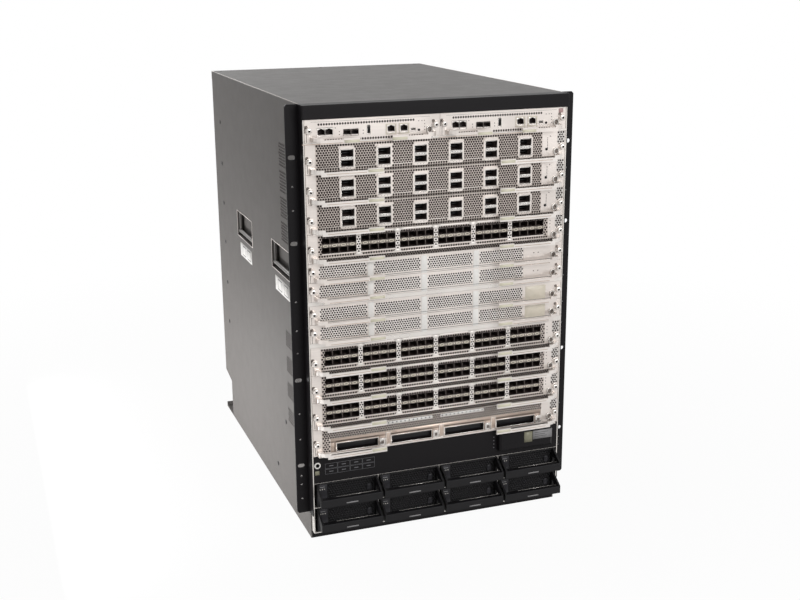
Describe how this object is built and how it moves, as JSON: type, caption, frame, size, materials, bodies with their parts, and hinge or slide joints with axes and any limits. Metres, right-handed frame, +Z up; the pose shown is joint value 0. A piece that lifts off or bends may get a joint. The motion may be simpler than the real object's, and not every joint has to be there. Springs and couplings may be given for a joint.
{
  "type": "modular chassis switch",
  "caption": "Rack-mounted modular network switch: a tall sheet-metal chassis with plug-in interface, control and fabric cards, power supplies with bar handles, and fan trays behind.",
  "frame": {"origin": "on the floor, under the middle of the side panels", "axes": "+X to the right seen from the front, +Y from the card face to the back, +Z up"},
  "size_m": [0.4826, 0.7133, 0.7084],
  "materials": {
    "bail": "satin",
    "board": "glass-fibre board",
    "card": "bright warm off-white plated steel",
    "fan_plastic": "glass-filled nylon",
    "lever": "satin",
    "painted_black": "matt black paint",
    "painted_side": "matt warm grey paint",
    "supply_body": "fine matt grain",
    "tin_plate": "bright tin-plated steel",
    "zinc_steel": "zinc-plated steel"
  },
  "bodies": {
    "chassis": {"base_tray": "painted_side", "left_side_panel": "painted_side", "right_side_panel": "painted_side", "top_cover": "painted_side", "top_bezel": "painted_black", "rack_ears": "painted_black", "card_cage": "tin_plate", "card_guides": "tin_plate", "cage_shelves": "tin_plate", "backplane_boards": "board", "power_panel": "painted_black", "rear_frame": "zinc_steel"},
    "control_card_left": {"control_card_left": "card"},
    "control_card_right": {"control_card_right": "card"},
    "line_card_1": {"line_card_1": "card"},
    "line_card_1_left_lever": {"line_card_1_left_lever": "lever"},
    "line_card_1_right_lever": {"line_card_1_right_lever": "lever"},
    "line_card_2": {"line_card_2": "card"},
    "line_card_2_left_lever": {"line_card_2_left_lever": "lever"},
    "line_card_2_right_lever": {"line_card_2_right_lever": "lever"},
    "line_card_3": {"line_card_3": "card"},
    "line_card_3_left_lever": {"line_card_3_left_lever": "lever"},
    "line_card_3_right_lever": {"line_card_3_right_lever": "lever"},
    "line_card_4": {"line_card_4": "card"},
    "line_card_4_left_lever": {"line_card_4_left_lever": "lever"},
    "line_card_4_right_lever": {"line_card_4_right_lever": "lever"},
    "line_card_5": {"line_card_5": "card"},
    "line_card_5_left_lever": {"line_card_5_left_lever": "lever"},
    "line_card_5_right_lever": {"line_card_5_right_lever": "lever"},
    "line_card_6": {"line_card_6": "card"},
    "line_card_6_left_lever": {"line_card_6_left_lever": "lever"},
    "line_card_6_right_lever": {"line_card_6_right_lever": "lever"},
    "line_card_7": {"line_card_7": "card"},
    "line_card_7_left_lever": {"line_card_7_left_lever": "lever"},
    "line_card_7_right_lever": {"line_card_7_right_lever": "lever"},
    "line_card_8": {"line_card_8": "card"},
    "line_card_8_left_lever": {"line_card_8_left_lever": "lever"},
    "line_card_8_right_lever": {"line_card_8_right_lever": "lever"},
    "fabric_card_1": {"fabric_card_1": "card"},
    "fabric_card_2": {"fabric_card_2": "card"},
    "fabric_card_3": {"fabric_card_3": "card"},
    "fabric_card_4": {"fabric_card_4": "card"},
    "power_supply_1": {"power_supply_1": "supply_body"},
    "power_supply_2": {"power_supply_2": "supply_body"},
    "power_supply_3": {"power_supply_3": "supply_body"},
    "power_supply_4": {"power_supply_4": "supply_body"},
    "power_supply_5": {"power_supply_5": "supply_body"},
    "power_supply_6": {"power_supply_6": "supply_body"},
    "power_supply_7": {"power_supply_7": "supply_body"},
    "power_supply_8": {"power_supply_8": "supply_body"},
    "fan_tray_lower": {"fan_tray_lower": "zinc_steel"},
    "fan_rotor_lower_left": {"fan_rotor_lower_left": "fan_plastic"},
    "fan_rotor_lower_right": {"fan_rotor_lower_right": "fan_plastic"},
    "fan_tray_upper": {"fan_tray_upper": "zinc_steel"},
    "fan_rotor_upper_left": {"fan_rotor_upper_left": "fan_plastic"},
    "fan_rotor_upper_right": {"fan_rotor_upper_right": "fan_plastic"},
    "left_front_bail": {"left_front_bail": "bail"},
    "left_rear_bail": {"left_rear_bail": "bail"},
    "right_front_bail": {"right_front_bail": "bail"},
    "right_rear_bail": {"right_rear_bail": "bail"}
  },
  "joints": [
    {"name": "control_card_left_slide", "type": "slide", "parent": "chassis", "child": "control_card_left", "axis": [0, -1, 0], "range_m": [0, 0.39]},
    {"name": "control_card_right_slide", "type": "slide", "parent": "chassis", "child": "control_card_right", "axis": [0, -1, 0], "range_m": [0, 0.39]},
    {"name": "line_card_1_slide", "type": "slide", "parent": "chassis", "child": "line_card_1", "axis": [0, -1, 0], "range_m": [0, 0.39]},
    {"name": "line_card_1_left_lever_pivot", "type": "hinge", "parent": "line_card_1", "child": "line_card_1_left_lever", "pos_m": [-0.2065, -0.3436, 0.60584], "axis": [0, 0, -1], "range_deg": [0, 60]},
    {"name": "line_card_1_right_lever_pivot", "type": "hinge", "parent": "line_card_1", "child": "line_card_1_right_lever", "pos_m": [0.2065, -0.3436, 0.60584], "axis": [0, 0, 1], "range_deg": [0, 60]},
    {"name": "line_card_2_slide", "type": "slide", "parent": "chassis", "child": "line_card_2", "axis": [0, -1, 0], "range_m": [0, 0.39]},
    {"name": "line_card_2_left_lever_pivot", "type": "hinge", "parent": "line_card_2", "child": "line_card_2_left_lever", "pos_m": [-0.2065, -0.3436, 0.56012], "axis": [0, 0, -1], "range_deg": [0, 60]},
    {"name": "line_card_2_right_lever_pivot", "type": "hinge", "parent": "line_card_2", "child": "line_card_2_right_lever", "pos_m": [0.2065, -0.3436, 0.56012], "axis": [0, 0, 1], "range_deg": [0, 60]},
    {"name": "line_card_3_slide", "type": "slide", "parent": "chassis", "child": "line_card_3", "axis": [0, -1, 0], "range_m": [0, 0.39]},
    {"name": "line_card_3_left_lever_pivot", "type": "hinge", "parent": "line_card_3", "child": "line_card_3_left_lever", "pos_m": [-0.2065, -0.3436, 0.5144], "axis": [0, 0, -1], "range_deg": [0, 60]},
    {"name": "line_card_3_right_lever_pivot", "type": "hinge", "parent": "line_card_3", "child": "line_card_3_right_lever", "pos_m": [0.2065, -0.3436, 0.5144], "axis": [0, 0, 1], "range_deg": [0, 60]},
    {"name": "line_card_4_slide", "type": "slide", "parent": "chassis", "child": "line_card_4", "axis": [0, -1, 0], "range_m": [0, 0.39]},
    {"name": "line_card_4_left_lever_pivot", "type": "hinge", "parent": "line_card_4", "child": "line_card_4_left_lever", "pos_m": [-0.2065, -0.3436, 0.46868], "axis": [0, 0, -1], "range_deg": [0, 60]},
    {"name": "line_card_4_right_lever_pivot", "type": "hinge", "parent": "line_card_4", "child": "line_card_4_right_lever", "pos_m": [0.2065, -0.3436, 0.46868], "axis": [0, 0, 1], "range_deg": [0, 60]},
    {"name": "line_card_5_slide", "type": "slide", "parent": "chassis", "child": "line_card_5", "axis": [0, -1, 0], "range_m": [0, 0.39]},
    {"name": "line_card_5_left_lever_pivot", "type": "hinge", "parent": "line_card_5", "child": "line_card_5_left_lever", "pos_m": [-0.2065, -0.3436, 0.28736], "axis": [0, 0, -1], "range_deg": [0, 60]},
    {"name": "line_card_5_right_lever_pivot", "type": "hinge", "parent": "line_card_5", "child": "line_card_5_right_lever", "pos_m": [0.2065, -0.3436, 0.28736], "axis": [0, 0, 1], "range_deg": [0, 60]},
    {"name": "line_card_6_slide", "type": "slide", "parent": "chassis", "child": "line_card_6", "axis": [0, -1, 0], "range_m": [0, 0.39]},
    {"name": "line_card_6_left_lever_pivot", "type": "hinge", "parent": "line_card_6", "child": "line_card_6_left_lever", "pos_m": [-0.2065, -0.3436, 0.24164], "axis": [0, 0, -1], "range_deg": [0, 60]},
    {"name": "line_card_6_right_lever_pivot", "type": "hinge", "parent": "line_card_6", "child": "line_card_6_right_lever", "pos_m": [0.2065, -0.3436, 0.24164], "axis": [0, 0, 1], "range_deg": [0, 60]},
    {"name": "line_card_7_slide", "type": "slide", "parent": "chassis", "child": "line_card_7", "axis": [0, -1, 0], "range_m": [0, 0.39]},
    {"name": "line_card_7_left_lever_pivot", "type": "hinge", "parent": "line_card_7", "child": "line_card_7_left_lever", "pos_m": [-0.2065, -0.3436, 0.19592], "axis": [0, 0, -1], "range_deg": [0, 60]},
    {"name": "line_card_7_right_lever_pivot", "type": "hinge", "parent": "line_card_7", "child": "line_card_7_right_lever", "pos_m": [0.2065, -0.3436, 0.19592], "axis": [0, 0, 1], "range_deg": [0, 60]},
    {"name": "line_card_8_slide", "type": "slide", "parent": "chassis", "child": "line_card_8", "axis": [0, -1, 0], "range_m": [0, 0.39]},
    {"name": "line_card_8_left_lever_pivot", "type": "hinge", "parent": "line_card_8", "child": "line_card_8_left_lever", "pos_m": [-0.2065, -0.3436, 0.1502], "axis": [0, 0, -1], "range_deg": [0, 60]},
    {"name": "line_card_8_right_lever_pivot", "type": "hinge", "parent": "line_card_8", "child": "line_card_8_right_lever", "pos_m": [0.2065, -0.3436, 0.1502], "axis": [0, 0, 1], "range_deg": [0, 60]},
    {"name": "fabric_card_1_slide", "type": "slide", "parent": "chassis", "child": "fabric_card_1", "axis": [0, -1, 0], "range_m": [0, 0.39]},
    {"name": "fabric_card_2_slide", "type": "slide", "parent": "chassis", "child": "fabric_card_2", "axis": [0, -1, 0], "range_m": [0, 0.39]},
    {"name": "fabric_card_3_slide", "type": "slide", "parent": "chassis", "child": "fabric_card_3", "axis": [0, -1, 0], "range_m": [0, 0.39]},
    {"name": "fabric_card_4_slide", "type": "slide", "parent": "chassis", "child": "fabric_card_4", "axis": [0, -1, 0], "range_m": [0, 0.39]},
    {"name": "power_supply_1_slide", "type": "slide", "parent": "chassis", "child": "power_supply_1", "axis": [0, -1, 0], "range_m": [0, 0.3]},
    {"name": "power_supply_2_slide", "type": "slide", "parent": "chassis", "child": "power_supply_2", "axis": [0, -1, 0], "range_m": [0, 0.3]},
    {"name": "power_supply_3_slide", "type": "slide", "parent": "chassis", "child": "power_supply_3", "axis": [0, -1, 0], "range_m": [0, 0.3]},
    {"name": "power_supply_4_slide", "type": "slide", "parent": "chassis", "child": "power_supply_4", "axis": [0, -1, 0], "range_m": [0, 0.3]},
    {"name": "power_supply_5_slide", "type": "slide", "parent": "chassis", "child": "power_supply_5", "axis": [0, -1, 0], "range_m": [0, 0.3]},
    {"name": "power_supply_6_slide", "type": "slide", "parent": "chassis", "child": "power_supply_6", "axis": [0, -1, 0], "range_m": [0, 0.3]},
    {"name": "power_supply_7_slide", "type": "slide", "parent": "chassis", "child": "power_supply_7", "axis": [0, -1, 0], "range_m": [0, 0.3]},
    {"name": "power_supply_8_slide", "type": "slide", "parent": "chassis", "child": "power_supply_8", "axis": [0, -1, 0], "range_m": [0, 0.3]},
    {"name": "fan_tray_lower_slide", "type": "slide", "parent": "chassis", "child": "fan_tray_lower", "axis": [0, 1, 0], "range_m": [0, 0.16]},
    {"name": "fan_rotor_lower_left_spin", "type": "hinge", "parent": "fan_tray_lower", "child": "fan_rotor_lower_left", "pos_m": [-0.104, 0.284, 0.28269], "axis": [0, 1, 0], "continuous": true},
    {"name": "fan_rotor_lower_right_spin", "type": "hinge", "parent": "fan_tray_lower", "child": "fan_rotor_lower_right", "pos_m": [0.104, 0.284, 0.28269], "axis": [0, 1, 0], "continuous": true},
    {"name": "fan_tray_upper_slide", "type": "slide", "parent": "chassis", "child": "fan_tray_upper", "axis": [0, 1, 0], "range_m": [0, 0.16]},
    {"name": "fan_rotor_upper_left_spin", "type": "hinge", "parent": "fan_tray_upper", "child": "fan_rotor_upper_left", "pos_m": [-0.104, 0.284, 0.55207], "axis": [0, 1, 0], "continuous": true},
    {"name": "fan_rotor_upper_right_spin", "type": "hinge", "parent": "fan_tray_upper", "child": "fan_rotor_upper_right", "pos_m": [0.104, 0.284, 0.55207], "axis": [0, 1, 0], "continuous": true},
    {"name": "left_front_bail_swing", "type": "hinge", "parent": "chassis", "child": "left_front_bail", "pos_m": [-0.2161, -0.184, 0.456], "axis": [0, 1, 0], "range_deg": [0, 90]},
    {"name": "left_rear_bail_swing", "type": "hinge", "parent": "chassis", "child": "left_rear_bail", "pos_m": [-0.2161, 0.083, 0.456], "axis": [0, 1, 0], "range_deg": [0, 90]},
    {"name": "right_front_bail_swing", "type": "hinge", "parent": "chassis", "child": "right_front_bail", "pos_m": [0.2161, -0.184, 0.456], "axis": [0, -1, 0], "range_deg": [0, 90]},
    {"name": "right_rear_bail_swing", "type": "hinge", "parent": "chassis", "child": "right_rear_bail", "pos_m": [0.2161, 0.083, 0.456], "axis": [0, -1, 0], "range_deg": [0, 90]}
  ]
}
